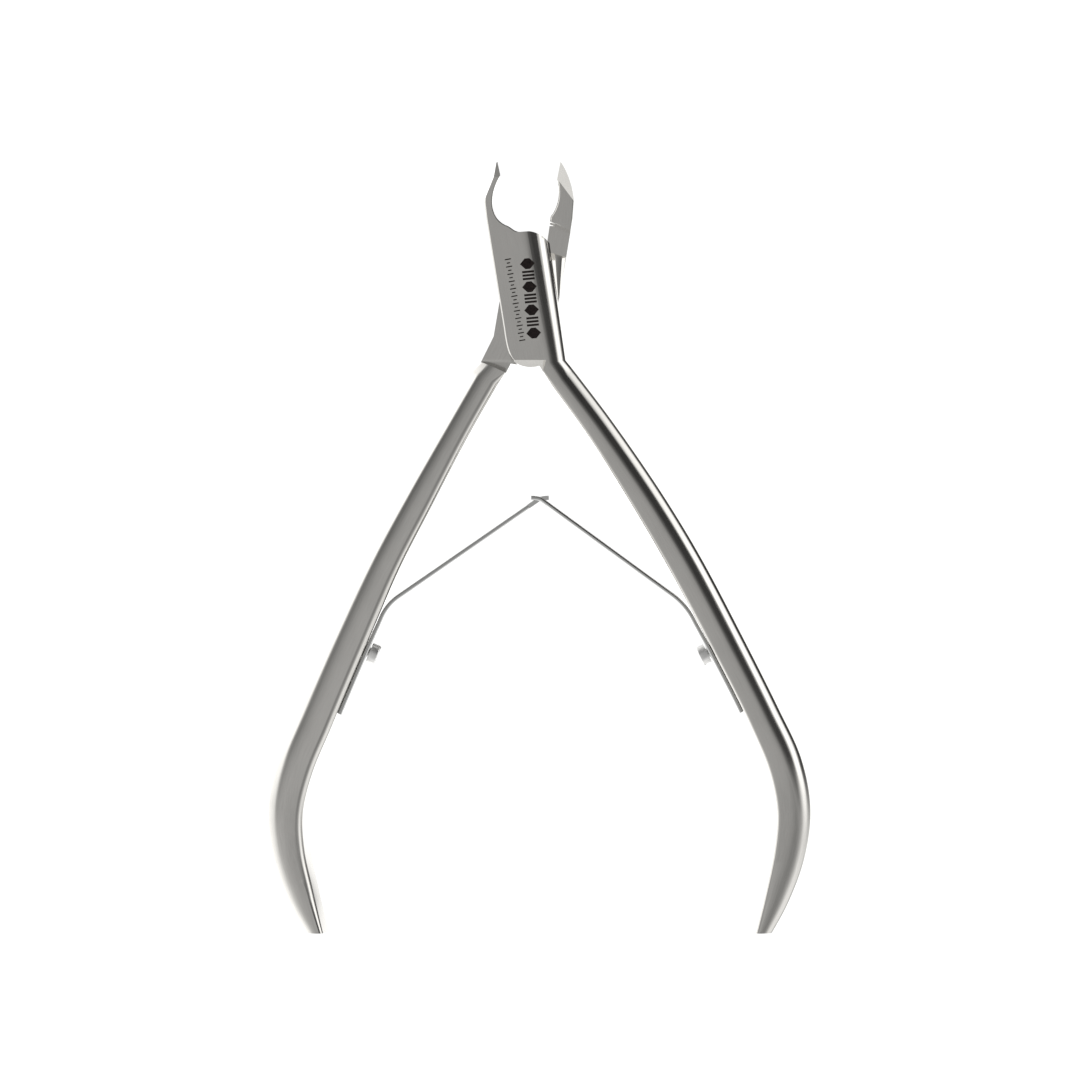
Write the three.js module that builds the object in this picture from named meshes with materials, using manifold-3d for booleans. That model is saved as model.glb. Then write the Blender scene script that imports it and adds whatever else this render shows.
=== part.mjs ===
// Cuticle nipper, 110 mm long, lying on its back with the jaws open.
// Millimetres. +Y points to the jaws, +Z out of the marked front face, and the origin is
// on the pivot axis in the plane that the nipper rests on.
// The front lever has the left jaw and the right handle. The rear lever has the other two.

import * as THREE from 'three';
import { mergeVertices } from 'three/addons/utils/BufferGeometryUtils.js';
import Module from 'manifold-3d';

const wasm = await Module();
wasm.setup();

// ---- Driving dimensions ----

const THICKNESS = 6;          // joint, jaws and upper handles, along Z
const MID_Z = THICKNESS / 2;  // the plane where the two plates slide on each other
const LAP_CLEARANCE = 0.03;   // each plate stands this far back from that plane
const TIP_THICKNESS = 4;      // handles at their ends
const TAPER_START_Y = -64;    // below this the handles thin down
const HANDLE_END_Y = -89.6;

const OUTER_ROUND = 2.2;      // how far the half-round outer side reaches into the width
const INNER_RADIUS = 0.8;     // corner radius along the inner side
const ROUND_STEPS = 12;       // facets over the half-round
const CORNER_STEPS = 3;
const HANDLE_STEPS = 32;

const JAW_TIP_Z = 3.4;        // the cutting edges fall from the front face to here
const JAW_HEEL_Z = 5.75;      // inner end of the left jaw's bevel
const PLATE_BEVEL_Y = -8.0;   // the flat of the front plate ends here in a bevel
const FOLD_Y = -7.68;         // below this fold the lap face falls away to the handle's step
const RELIEF_SLOPE = 0.14;

const RIVET_SHANK_R = 1.5;
const RIVET_BORE_R = 1.57;
const RIVET_HEAD_R = 2.3;
const RIVET_SINK_R = 2.38;
const RIVET_HEAD_H = 1.2;
const RIVET_LENGTH = 5.1;
const RIVET_BORE_DEPTH = 5.3;
const ROUND_SIDES = 48;

const LEAF_T = 0.5;           // leaf spring strip
const LEAF_LOW_Z = 1.1;
const LEAF_HIGH_Z = 4.9;
const LEAF_STAND_OFF = 0.12;  // strip to handle
const LEFT_BEND_R = 7;
const RIGHT_BEND_R = 10;
const LEAF_BEND_STEPS = 6;
const FOOT_BELOW_SCREW = 9.7;
const HINGE_GAP = 0.3;        // parts the foot from the flexing blade
const TONGUE_Z = [2.3, 3.7];  // left tip
const FORK_SLOT_Z = [2.05, 3.95]; // right tip
const TIP_ZONE = 2.0;         // tongue and fork start this far before the crossing
const CURL_START = 0.2;       // the tips curl flat from before the crossing to past it
const CURL_REACH = 1.25;
const CURL_RISE = 0.1;
const LEFT_BLADE_ANGLE = THREE.MathUtils.degToRad(34.7);
const RIGHT_BLADE_ANGLE = THREE.MathUtils.degToRad(143.9);
const CROSSING = new THREE.Vector2(1.57, -27.66);

const SCREW_HEAD_R = 1.45;
const SCREW_HEAD_H = 1.3;
const SCREW_RIM = 0.25;
const SCREW_SHANK_R = 0.75;
const SCREW_SHANK_L = 3.0;
const SCREW_BORE_R = 0.85;
const SCREW_BORE_DEPTH = 2.9;
const SCREW_Y = -49.3;
const SCREW_SIDES = 24;
const SEAT_SPAN = 14;         // stretch of handle that sets the foot's direction
const SEAT_GAP = 0.05;        // head to strip

const v2 = (x, y) => new THREE.Vector2(x, y);
const v3 = (x, y, z) => new THREE.Vector3(x, y, z);

// ---- Solids ----

function toSolid(geometry) {
  const bare = geometry.index ? geometry.toNonIndexed() : geometry.clone();
  bare.deleteAttribute('normal');
  bare.deleteAttribute('uv');
  const merged = mergeVertices(bare, 1e-5);
  return new wasm.Manifold(new wasm.Mesh({
    numProp: 3,
    vertProperties: merged.attributes.position.array,
    triVerts: new Uint32Array(merged.index.array),
  }));
}

function toGeometry(solid) {
  const mesh = solid.getMesh();
  const geometry = new THREE.BufferGeometry();
  geometry.setAttribute('position', new THREE.BufferAttribute(mesh.vertProperties, 3));
  geometry.setIndex(new THREE.BufferAttribute(mesh.triVerts, 1));
  geometry.computeVertexNormals();
  return geometry;
}

// Upright walls over an outline, from z0 to z1.
function prism(outline, z0, z1) {
  const shape = outline instanceof THREE.Shape ? outline : new THREE.Shape(outline);
  const geometry = new THREE.ExtrudeGeometry(shape, {
    depth: z1 - z0,
    bevelEnabled: false,
    curveSegments: 5,
  });
  geometry.translate(0, 0, z0);
  return toSolid(geometry);
}

// A large block whose near face passes through a point, square to the outward direction.
function beyond(point, outward) {
  const size = 200;
  const geometry = new THREE.BoxGeometry(size, size, size);
  const turn = new THREE.Quaternion().setFromUnitVectors(v3(0, 0, 1), outward.clone().normalize());
  geometry.translate(0, 0, size / 2);
  geometry.applyQuaternion(turn);
  geometry.translate(point.x, point.y, point.z);
  return toSolid(geometry);
}

// The block on one side of the plane through three points: way is 1 for the upper side.
function sideOfPlane(way, a, b, c) {
  const outward = b.clone().sub(a).cross(c.clone().sub(a));
  if (outward.z * way < 0) outward.negate();
  return beyond(a, outward);
}

// Closed skin through rings of equal length, with flat ends.
function loft(rings) {
  const count = rings[0].length;
  const positions = rings.flat().flatMap((p) => [p.x, p.y, p.z]);
  const index = [];
  for (let i = 0; i + 1 < rings.length; i += 1) {
    for (let j = 0; j < count; j += 1) {
      const a = i * count + j;
      const b = i * count + ((j + 1) % count);
      index.push(a, b, b + count, a, b + count, a + count);
    }
  }
  const last = (rings.length - 1) * count;
  for (let j = 1; j + 1 < count; j += 1) {
    index.push(0, j + 1, j);
    index.push(last, last + j, last + j + 1);
  }
  const geometry = new THREE.BufferGeometry();
  geometry.setAttribute('position', new THREE.BufferAttribute(new Float32Array(positions), 3));
  geometry.setIndex(index);
  return toSolid(geometry);
}

// ---- Lever bar: a D section along a path ----

// Section in (across, z), centred. The half-round side is at positive across.
function barSection(width, thickness) {
  const points = [];
  const half = width / 2;
  const deep = Math.min(OUTER_ROUND, width * 0.45);
  const corner = Math.min(INNER_RADIUS, width * 0.2);
  for (let i = 0; i <= ROUND_STEPS; i += 1) {
    const turn = -Math.PI / 2 + (Math.PI * i) / ROUND_STEPS;
    points.push(v2(half - deep + deep * Math.cos(turn), (thickness / 2) * Math.sin(turn)));
  }
  const rise = thickness / 2 - corner;
  for (const [start, cz] of [[Math.PI / 2, rise], [Math.PI, -rise]]) {
    for (let i = 0; i <= CORNER_STEPS; i += 1) {
      const turn = start + (Math.PI / 2) * (i / CORNER_STEPS);
      points.push(v2(corner - half + corner * Math.cos(turn), cz + corner * Math.sin(turn)));
    }
  }
  return points;
}

function thicknessAt(y) {
  const share = THREE.MathUtils.clamp((TAPER_START_Y - y) / (TAPER_START_Y - HANDLE_END_Y), 0, 1);
  return THICKNESS - (THICKNESS - TIP_THICKNESS) * share * share * (3 - 2 * share);
}

// A station is a point on the bar's middle, the direction across it towards the half-round
// side, and the width in that direction.
function ringAt({ middle, across, width }) {
  return barSection(width, thicknessAt(middle.y)).map(
    (p) => v3(middle.x + across.x * p.x, middle.y + across.y * p.x, MID_Z + p.y),
  );
}

// The handle's middle line and width run together as one curve of (x, y, width) knots.
function handleStations(knots, side) {
  const curve = new THREE.CatmullRomCurve3(knots.map((k) => v3(...k)), false, 'centripetal');
  const stations = [];
  for (let i = 0; i <= HANDLE_STEPS; i += 1) {
    const at = curve.getPoint(i / HANDLE_STEPS);
    const along = curve.getTangent(i / HANDLE_STEPS);
    const across = v2(-along.y * side, along.x * side).normalize();
    stations.push({ middle: v2(at.x, at.y), across, width: at.z });
  }
  return stations;
}

// Point on the handle's inner side at a height.
function innerPointAt(stations, y) {
  const edge = stations.map((s) => s.middle.clone().addScaledVector(s.across, -s.width / 2));
  const i = edge.findIndex((p) => p.y < y);
  const up = edge[i - 1].clone().sub(edge[i]);
  return edge[i].clone().addScaledVector(up, (y - edge[i].y) / up.y);
}

// Where the leaf is screwed on: the point, and the directions up the handle and off it.
function screwSeat(stations, side) {
  const top = innerPointAt(stations, SCREW_Y + SEAT_SPAN / 2);
  const low = innerPointAt(stations, SCREW_Y - SEAT_SPAN / 2);
  const up = top.sub(low).normalize();
  const inward = v2(-up.y * side, up.x * side);
  return { point: innerPointAt(stations, SCREW_Y), up, inward };
}

function cylinderAlong(radius, from, axis, length, sides) {
  const geometry = new THREE.CylinderGeometry(radius, radius, length, sides);
  geometry.translate(0, length / 2, 0);
  geometry.applyQuaternion(new THREE.Quaternion().setFromUnitVectors(v3(0, 1, 0), axis));
  geometry.translate(from.x, from.y, from.z);
  return toSolid(geometry);
}

const boreFor = (side) => cylinderAlong(
  SCREW_BORE_R,
  v3(side.point.x + side.inward.x, side.point.y + side.inward.y, MID_Z),
  v3(-side.inward.x, -side.inward.y, 0),
  SCREW_BORE_DEPTH + 1,
  SCREW_SIDES,
);

// ---- Front lever ----

// Handle middle line with its width, from the plate to the end.
const frontHandle = handleStations([
  [4.92, -10.55, 4.0],
  [10.22, -17.73, 4.22],
  [16.9, -27.85, 4.73],
  [22.28, -36.86, 4.93],
  [28.37, -48.32, 4.87],
  [33.61, -58.8, 4.89],
  [36.47, -65.57, 5.3],
  [37.55, -72.0, 5.5],
  [36.88, -78.2, 5.3],
  [34.97, -84.56, 4.53],
  [32.83, -90.2, 2.85],
  [31.2, -94.4, 1.6],
], 1);

// The bar goes on up beside the plate, with a mitred corner where plate and handle meet.
const frontBar = [
  { middle: v2(0.66, 10.8), across: v2(0.991, 0.133), width: 4.0 },
  { middle: v2(3.33, -8.75), across: v2(0.94, 0.342), width: 4.25 },
  ...frontHandle,
];

// Jaw and plate seen from the front. Its right side ends inside the bar.
const frontPlan = new THREE.Shape();
frontPlan.moveTo(-4.51, 20.46);
frontPlan.bezierCurveTo(-5.6, 19.0, -6.33, 17.0, -6.33, 14.4);
frontPlan.lineTo(-6.07, 12.1);
frontPlan.lineTo(-3.54, -3.6);
frontPlan.bezierCurveTo(-3.2, -6.2, -2.8, -7.9, -1.6, -8.55);
frontPlan.bezierCurveTo(-0.5, -9.15, 1.3, -9.1, 2.3, -8.5);
frontPlan.lineTo(0.2, 9.78);
frontPlan.lineTo(0, 10.3);
frontPlan.lineTo(-1.2, 10.2);
frontPlan.bezierCurveTo(-2.3, 10.3, -2.4, 10.85, -3.3, 11.15);
frontPlan.bezierCurveTo(-5.7, 12.2, -5.7, 15.6, -4.06, 18.24);

// Trims the bar's upper end to the rounded shoulder of the plate.
const frontShoulder = new THREE.Shape();
frontShoulder.moveTo(-2, 12);
frontShoulder.lineTo(-2, 10.3);
frontShoulder.lineTo(0, 10.3);
frontShoulder.quadraticCurveTo(1.5, 10.2, 2.9, 8.8);
frontShoulder.lineTo(5, 8.8);
frontShoulder.lineTo(5, 12);

// ---- Rear lever ----

const rearHandle = handleStations([
  [-6.35, -10.5, 4.3],
  [-10.5, -17.74, 4.35],
  [-16.01, -27.84, 4.8],
  [-20.77, -36.87, 5.0],
  [-26.0, -48.4, 5.35],
  [-30.5, -58.9, 5.5],
  [-33.2, -65.6, 5.65],
  [-34.5, -72.0, 5.7],
  [-33.95, -78.2, 5.35],
  [-32.1, -84.6, 4.45],
  [-29.9, -90.2, 2.7],
  [-28.2, -94.4, 1.6],
], -1);

const rearBar = [
  { middle: v2(-0.66, 9.6), across: v2(-0.991, 0.133), width: 4.0 },
  { middle: v2(-3.05, -4.9), across: v2(-0.981, 0.195), width: 4.1 },
  { middle: v2(-5.1, -8.95), across: v2(-0.914, 0.406), width: 3.9 },
  ...rearHandle,
];

const rearPlan = new THREE.Shape();
rearPlan.moveTo(4.5, 20.46);
rearPlan.lineTo(4.01, 17.74);
rearPlan.quadraticCurveTo(4.35, 16.4, 4.2, 15.0);
rearPlan.quadraticCurveTo(3.95, 13.4, 3.1, 12.4);
rearPlan.lineTo(2.95, 11.8);
rearPlan.lineTo(3.6, 11.5);
rearPlan.lineTo(2.8, 11.45);
rearPlan.lineTo(2.6, 9.0);
rearPlan.quadraticCurveTo(1.4, 8.9, 0.6, 9.2);
rearPlan.lineTo(-0.2, 9.2);
rearPlan.lineTo(-2.0, -5.2);
rearPlan.lineTo(-3.4, -8.3);
rearPlan.quadraticCurveTo(0, -9.0, 2.0, -8.1);
rearPlan.bezierCurveTo(2.9, -7.6, 3.2, -6.2, 3.54, -3.6);
rearPlan.lineTo(5.3, 6.7);
rearPlan.lineTo(6.2, 12.1);
rearPlan.lineTo(6.39, 14.57);
rearPlan.bezierCurveTo(6.2, 17.0, 5.5, 19.0, 4.5, 20.46);

// ---- Cuts shared by both levers. side is 1 for the front lever and -1 for the rear one. ----

// Half of the thickness comes off between the jaw's step and the handle's step.
function lapCut(side) {
  const region = new THREE.Shape([
    v2(side * 14, 6.83),
    v2(side * 14, -4.97),
    v2(side * 6.86, -8.21),
    v2(side * -6, -13.92),
    v2(side * -16, -13.92),
    v2(side * -16, 5.97),
    v2(side * -6.14, 10.3),
    v2(side * -2.57, 11.87),
    v2(side * 2, 13.87),
  ]);
  return side > 0
    ? prism(region, -1, MID_Z + LAP_CLEARANCE)
    : prism(region, MID_Z - LAP_CLEARANCE, THICKNESS + 1);
}

// The lap face falls away from its fold to the handle's step, so that the other plate runs clear.
function reliefCut(side) {
  const region = new THREE.Shape([
    v2(side * 8.05, FOLD_Y),
    v2(side * 2.6, -10.1),
    v2(side * 2.6, FOLD_Y),
  ]);
  const falling = beyond(
    v3(0, FOLD_Y, MID_Z + side * LAP_CLEARANCE),
    v3(0, -RELIEF_SLOPE, -side),
  );
  return prism(region, 0.5, THICKNESS - 0.5).intersect(falling);
}

// The neck's outer edge is ground back on the lap side, from nothing to full width at the jaw.
function neckCut(side) {
  const region = new THREE.Shape([
    v2(side * -2.4, -2),
    v2(side * -8, -2),
    v2(side * -8, 6.02),
    v2(side * -2.4, 7.76),
  ]);
  const ground = sideOfPlane(
    -side,
    v3(side * -3.2, 7.5, MID_Z),
    v3(side * -3.9, -1.5, MID_Z),
    v3(side * -5.29, 6.8, MID_Z + side * 2),
  );
  return prism(region, 0, THICKNESS).intersect(ground);
}

// The outer flat of each plate ends in a bevel that leaves a crescent over the round end.
function plateBevel(side) {
  const region = new THREE.Shape([
    v2(side * -4, -7.9),
    v2(side * -4, -10),
    v2(side * 2.0, -10),
    v2(side * 2.6, -7.9),
  ]);
  const face = v3(0, PLATE_BEVEL_Y, MID_Z + side * MID_Z);
  return prism(region, -1, THICKNESS + 1).intersect(beyond(face, v3(0, -1, side)));
}

const cutsFor = (side) => [lapCut(side), reliefCut(side), neckCut(side), plateBevel(side)];

function makeLever(bar, plan, trims) {
  const blank = loft(bar.map(ringAt)).add(prism(plan, 0, THICKNESS));
  return trims.reduce((solid, trim) => solid.subtract(trim), blank);
}

const pivotBore = (radius, z0, z1) => cylinderAlong(
  radius,
  v3(0, 0, z0),
  v3(0, 0, 1),
  z1 - z0,
  ROUND_SIDES,
);
const belowHandleEnd = beyond(v3(0, HANDLE_END_Y, 0), v3(0, -1, 0));

const leftSide = screwSeat(rearHandle, -1);
const rightSide = screwSeat(frontHandle, 1);

const frontTip = v3(-4.51, 20.46, JAW_TIP_Z);
const rearTip = v3(4.5, 20.46, JAW_TIP_Z);

const frontLever = makeLever(frontBar, frontPlan, [
  prism(frontShoulder, -1, THICKNESS + 1),
  ...cutsFor(1),
  sideOfPlane(1, v3(-4.84, 18.0, THICKNESS), v3(-6.16, 15.04, THICKNESS), frontTip),
  sideOfPlane(1, v3(-4.84, 18.0, THICKNESS), v3(-4.06, 18.24, JAW_HEEL_Z), frontTip),
  pivotBore(RIVET_BORE_R, -1, RIVET_BORE_DEPTH),
  boreFor(rightSide),
  belowHandleEnd,
]);

// Its sections run the other way round, so they are taken from the handle's end upwards.
const rearLever = makeLever(rearBar.toReversed(), rearPlan, [
  ...cutsFor(-1),
  sideOfPlane(1, v3(4.01, 17.74, THICKNESS), v3(6.39, 14.57, THICKNESS), rearTip),
  pivotBore(RIVET_BORE_R, -1, THICKNESS),
  pivotBore(RIVET_SINK_R, -1, RIVET_HEAD_H + LAP_CLEARANCE),
  boreFor(leftSide),
  belowHandleEnd,
]);

// ---- Pivot rivet ----

const rivetProfile = [
  v2(0, 0),
  v2(RIVET_HEAD_R, 0),
  v2(RIVET_HEAD_R, RIVET_HEAD_H),
  v2(RIVET_SHANK_R, RIVET_HEAD_H),
  v2(RIVET_SHANK_R, RIVET_LENGTH),
  v2(0, RIVET_LENGTH),
];
const rivetGeometry = new THREE.LatheGeometry(rivetProfile, ROUND_SIDES);
rivetGeometry.rotateX(Math.PI / 2);

// ---- Leaf springs ----

const cross2 = (a, b) => a.x * b.y - a.y * b.x;

// Plan of one leaf: foot along the handle, a bend, and a straight blade to the crossing.
function leafPlan(side, bladeAngle, turnSign, bendRadius) {
  const blade = v2(Math.cos(bladeAngle), Math.sin(bladeAngle));
  const seat = side.point.clone().addScaledVector(side.inward, LEAF_STAND_OFF + LEAF_T / 2);
  const gap = CROSSING.clone().sub(seat);
  const corner = seat.clone().addScaledVector(side.up, cross2(gap, blade) / cross2(side.up, blade));
  const bend = side.up.angleTo(blade);
  const reach = bendRadius * Math.tan(bend / 2);
  const start = corner.clone().addScaledVector(side.up, -reach);
  const centre = start.clone().addScaledVector(side.inward, bendRadius);
  const arc = [];
  for (let i = 0; i <= LEAF_BEND_STEPS; i += 1) {
    const turn = (bend * turnSign * i) / LEAF_BEND_STEPS;
    arc.push(start.clone().rotateAround(centre, turn));
  }
  return { seat, arc, blade, foot: seat.clone().addScaledVector(side.up, -FOOT_BELOW_SCREW) };
}

// A strip of the leaf's thickness along a plan path.
function strip(path, z0, z1) {
  const left = [];
  const right = [];
  path.forEach((p, i) => {
    const before = path[Math.max(i - 1, 0)];
    const after = path[Math.min(i + 1, path.length - 1)];
    const along = after.clone().sub(before).normalize();
    const across = v2(-along.y, along.x).multiplyScalar(LEAF_T / 2);
    left.push(p.clone().add(across));
    right.unshift(p.clone().sub(across));
  });
  return prism([...left, ...right], z0, z1);
}

// The blade ends in a short curl that lies flat after the crossing.
function bladeSolid(plan) {
  const half = LEAF_BEND_STEPS / 2;
  const middle = plan.arc[half];
  const after = plan.arc[half + 1];
  const start = middle.clone().add(after.clone().sub(middle).setLength(HINGE_GAP / 2));
  const way = Math.sign(plan.blade.x);
  const curl = new THREE.QuadraticBezierCurve(
    CROSSING.clone().addScaledVector(plan.blade, -CURL_START),
    CROSSING.clone().add(v2(way * CURL_REACH * 0.35, CURL_RISE)),
    CROSSING.clone().add(v2(way * CURL_REACH, CURL_RISE)),
  );
  const path = [start, ...plan.arc.slice(half + 1), ...curl.getPoints(4)];
  return strip(path, LEAF_LOW_Z, LEAF_HIGH_Z);
}

// The end of the blade between two heights, to be cut away.
function tipZone(plan, z0, z1) {
  const across = v2(-plan.blade.y, plan.blade.x).multiplyScalar(TIP_ZONE);
  const near = CROSSING.clone().addScaledVector(plan.blade, -TIP_ZONE);
  const far = CROSSING.clone().addScaledVector(plan.blade, TIP_ZONE);
  const corners = [
    near.clone().sub(across),
    far.clone().sub(across),
    far.clone().add(across),
    near.clone().add(across),
  ];
  return prism(corners, z0, z1);
}

function footSolid(plan, side) {
  const half = LEAF_BEND_STEPS / 2;
  const middle = plan.arc[half];
  const before = plan.arc[half - 1];
  const end = middle.clone().add(before.clone().sub(middle).setLength(HINGE_GAP / 2));
  const hole = cylinderAlong(
    SCREW_BORE_R,
    v3(side.point.x - side.inward.x, side.point.y - side.inward.y, MID_Z),
    v3(side.inward.x, side.inward.y, 0),
    4,
    SCREW_SIDES,
  );
  const path = [plan.foot, plan.seat, ...plan.arc.slice(0, half), end];
  return strip(path, LEAF_LOW_Z, LEAF_HIGH_Z).subtract(hole);
}

const leftPlan = leafPlan(leftSide, LEFT_BLADE_ANGLE, -1, LEFT_BEND_R);
const rightPlan = leafPlan(rightSide, RIGHT_BLADE_ANGLE, 1, RIGHT_BEND_R);

// The left tip is a tongue that runs through the fork of the right tip.
const leftBlade = bladeSolid(leftPlan)
  .subtract(tipZone(leftPlan, TONGUE_Z[1], THICKNESS))
  .subtract(tipZone(leftPlan, 0, TONGUE_Z[0]));
const rightBlade = bladeSolid(rightPlan).subtract(tipZone(rightPlan, ...FORK_SLOT_Z));

// ---- Spring screws ----

// Cheese head with a rounded rim on a short shank, along +Y from the underside of the head.
const screwRim = new THREE.EllipseCurve(
  SCREW_HEAD_R - SCREW_RIM,
  SCREW_HEAD_H - SCREW_RIM,
  SCREW_RIM,
  SCREW_RIM,
  0,
  Math.PI / 2,
).getPoints(4);
const screwProfile = [
  v2(0, -SCREW_SHANK_L),
  v2(SCREW_SHANK_R, -SCREW_SHANK_L),
  v2(SCREW_SHANK_R, 0),
  v2(SCREW_HEAD_R, 0),
  ...screwRim,
  v2(0, SCREW_HEAD_H),
];

function placeScrew(mesh, side) {
  const lift = LEAF_STAND_OFF + LEAF_T + SEAT_GAP;
  const seat = side.point.clone().addScaledVector(side.inward, lift);
  mesh.position.set(seat.x, seat.y, MID_Z);
  mesh.quaternion.setFromUnitVectors(v3(0, 1, 0), v3(side.inward.x, side.inward.y, 0));
  return mesh;
}

// ---- Assembly ----

const satinSteel = { color: 0x9b9994, roughness: 0.32, metalness: 1 };
const springSteel = { color: 0xa8a7a3, roughness: 0.25, metalness: 1 };
const screwSteel = { color: 0x8f8e8a, roughness: 0.38, metalness: 1 };

function named(name, geometry, look) {
  const mesh = new THREE.Mesh(geometry, new THREE.MeshStandardMaterial(look));
  mesh.name = name;
  return mesh;
}

const group = new THREE.Group();
group.add(named('front_lever', toGeometry(frontLever), satinSteel));
group.add(named('rear_lever', toGeometry(rearLever), satinSteel));
group.add(named('pivot_rivet', rivetGeometry, satinSteel));
group.add(named('left_spring_foot', toGeometry(footSolid(leftPlan, leftSide)), springSteel));
group.add(named('left_spring_blade', toGeometry(leftBlade), springSteel));
group.add(named('right_spring_foot', toGeometry(footSolid(rightPlan, rightSide)), springSteel));
group.add(named('right_spring_blade', toGeometry(rightBlade), springSteel));
const screwGeometry = new THREE.LatheGeometry(screwProfile, SCREW_SIDES);
group.add(placeScrew(named('left_spring_screw', screwGeometry, screwSteel), leftSide));
group.add(placeScrew(named('right_spring_screw', screwGeometry.clone(), screwSteel), rightSide));

export default group;
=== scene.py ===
import math

import bmesh
import bpy
import numpy as np
from mathutils import Matrix, Vector


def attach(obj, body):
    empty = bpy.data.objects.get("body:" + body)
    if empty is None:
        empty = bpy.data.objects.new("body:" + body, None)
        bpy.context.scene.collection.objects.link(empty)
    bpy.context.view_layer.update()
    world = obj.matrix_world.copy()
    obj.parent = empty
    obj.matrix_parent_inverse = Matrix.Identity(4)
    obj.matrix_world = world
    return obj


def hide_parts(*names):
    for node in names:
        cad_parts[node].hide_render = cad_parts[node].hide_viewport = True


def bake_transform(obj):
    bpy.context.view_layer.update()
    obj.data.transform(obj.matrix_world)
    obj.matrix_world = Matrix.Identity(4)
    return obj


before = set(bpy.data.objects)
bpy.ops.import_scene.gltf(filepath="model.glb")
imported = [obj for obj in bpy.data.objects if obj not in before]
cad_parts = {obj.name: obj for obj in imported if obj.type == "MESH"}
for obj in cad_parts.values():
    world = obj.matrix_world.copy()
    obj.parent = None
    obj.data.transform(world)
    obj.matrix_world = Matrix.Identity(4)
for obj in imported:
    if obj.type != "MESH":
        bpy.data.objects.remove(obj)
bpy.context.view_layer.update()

# Cuticle nipper. Shapes are built in millimetres in the part's own frame, and turned into
# metres as each piece is finished. +Y points to the jaws, +Z out of the marked front face.

MM = 0.001
THICKNESS = 6.0
MID_Z = THICKNESS / 2
LAP_CLEARANCE = 0.03
TIP_THICKNESS = 4.0
TAPER_START_Y = -64.0
HANDLE_END_Y = -89.6
JAW_TIP_Z = 3.4
FOLD_Y = -7.68           # below this fold the lap face falls away to the handle's step
RELIEF_SLOPE = 0.14

OUTER_REACH = 3.1        # how far the polished outer side reaches into the width
OUTER_POWER = 2.4        # superellipse exponent of that side
ROUND_STEPS = 28
CORNER_STEPS = 5
PLATE_CORNER = 0.05      # the bar's inner corner where the plate hides it
HANDLE_STEPS = 150
EDGE_BEVEL = 0.05
PLATE_CHAMFER = 0.17

SCREW_Y = -49.3
LEAF_T = 0.6
LEAF_LOW_Z = 1.1
LEAF_HIGH_Z = 4.9
LEAF_STAND_OFF = 0.12
FOOT_STAND_OFF = 0.03    # the foot lies close along the handle
LEFT_BEND_R = 7.0
RIGHT_BEND_R = 10.0
FOOT_BELOW_SCREW = 9.7
TONGUE_Z = (2.3, 3.7)
FORK_SLOT_Z = (2.05, 3.95)
TIP_ZONE = 2.0
CROSSING = np.array([1.57, -27.66])
SEAT_SPAN = 14.0
SEAT_GAP = 0.05
SCREW_HEAD_R = 1.45
SCREW_HEAD_H = 1.3
SCREW_SHANK_R = 0.75
SCREW_SHANK_L = 3.0
SCREW_BORE_R = 0.85
SCREW_BORE_DEPTH = 2.9

RIVET_R = 1.5
RIVET_HEAD_R = 2.3
RIVET_HEAD_H = 1.2
RIVET_TOP_Z = 5.1
PIVOT_BORE_R = 1.57
RIVET_SINK_R = 2.38
RIVET_SINK_DEPTH = 1.23

scene = bpy.context.scene


# ---- Meshes ----

def new_object(name, vertices, faces):
    mesh = bpy.data.meshes.new(name)
    mesh.from_pydata([tuple(map(float, v)) for v in vertices], [], faces)
    shape = bmesh.new()
    shape.from_mesh(mesh)
    bmesh.ops.recalc_face_normals(shape, faces=shape.faces)
    shape.to_mesh(mesh)
    shape.free()
    obj = bpy.data.objects.new(name, mesh)
    scene.collection.objects.link(obj)
    return obj


def loft(name, rings):
    """A closed skin through rings of equal length, with flat ends."""
    count = len(rings[0])
    faces = []
    for i in range(len(rings) - 1):
        for j in range(count):
            a, b = i * count + j, i * count + (j + 1) % count
            faces.append((a, b, b + count, a + count))
    last = (len(rings) - 1) * count
    faces.append(tuple(range(count)))
    faces.append(tuple(range(last, last + count)))
    return new_object(name, np.concatenate(rings), faces)


def prism(name, outline, z0, z1):
    return loft(name, [np.array([(x, y, z) for x, y in outline]) for z in (z0, z1)])


def rotation_to(axis):
    return Vector((0, 0, 1)).rotation_difference(Vector(axis)).to_matrix().to_4x4()


def beyond(point, outward):
    """A large block whose near face passes through a point, square to the outward direction."""
    size = 200.0
    corners = [(x, y, z) for z in (0, size) for x, y in
               ((-size, -size), (size, -size), (size, size), (-size, size))]
    faces = [(0, 1, 2, 3), (4, 5, 6, 7), (0, 1, 5, 4), (1, 2, 6, 5), (2, 3, 7, 6), (3, 0, 4, 7)]
    block = new_object("block", corners, faces)
    block.data.transform(Matrix.Translation(Vector(point)) @ rotation_to(outward))
    return block


def side_of_plane(way, a, b, c):
    outward = (Vector(b) - Vector(a)).cross(Vector(c) - Vector(a))
    if outward.z * way < 0:
        outward.negate()
    return beyond(a, outward)


def cylinder(radius, start, axis, length, sides=64):
    turns = [2 * math.pi * i / sides for i in range(sides)]
    rings = [np.array([(radius * math.cos(t), radius * math.sin(t), z) for t in turns])
             for z in (0, length)]
    rod = loft("rod", rings)
    rod.data.transform(Matrix.Translation(Vector(start)) @ rotation_to(axis))
    return rod


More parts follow.
